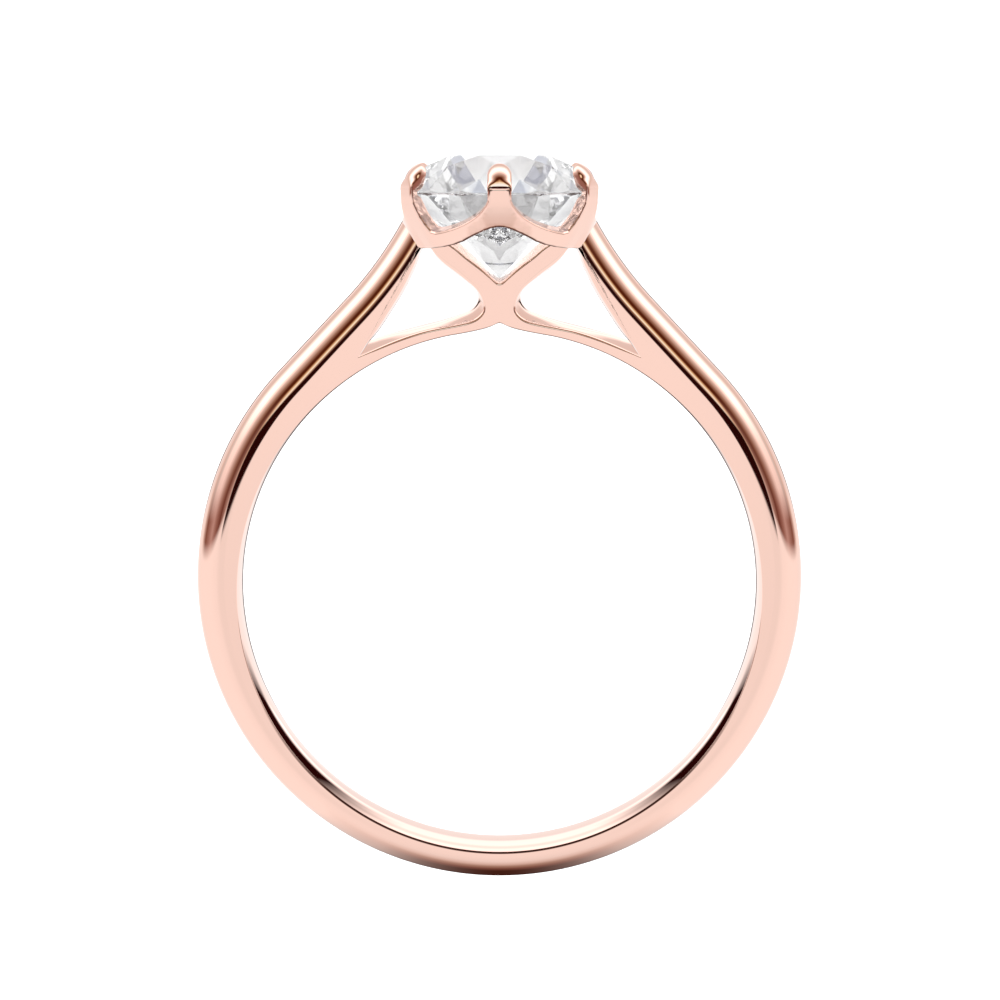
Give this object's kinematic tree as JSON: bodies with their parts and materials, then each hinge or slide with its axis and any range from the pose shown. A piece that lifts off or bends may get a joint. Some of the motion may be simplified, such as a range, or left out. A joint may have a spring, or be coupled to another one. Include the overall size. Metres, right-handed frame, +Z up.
{
  "type": "solitaire ring",
  "caption": "Solitaire ring: a faceted round stone in a claw head over split shoulders, a bridge and a rounded band.",
  "frame": {"origin": "centre of the overall box, at the surface the ring lies on", "axes": "+Z up, +Y from the foot of the band toward the head, +X across the ring"},
  "size_m": [0.02, 0.024, 0.007],
  "materials": {
    "rose_metal": "polished rose gold",
    "clear_stone": "clear, cut and polished facets"
  },
  "bodies": {
    "root": {"mounting": "rose_metal", "diamond": "clear_stone"}
  },
  "joints": []
}
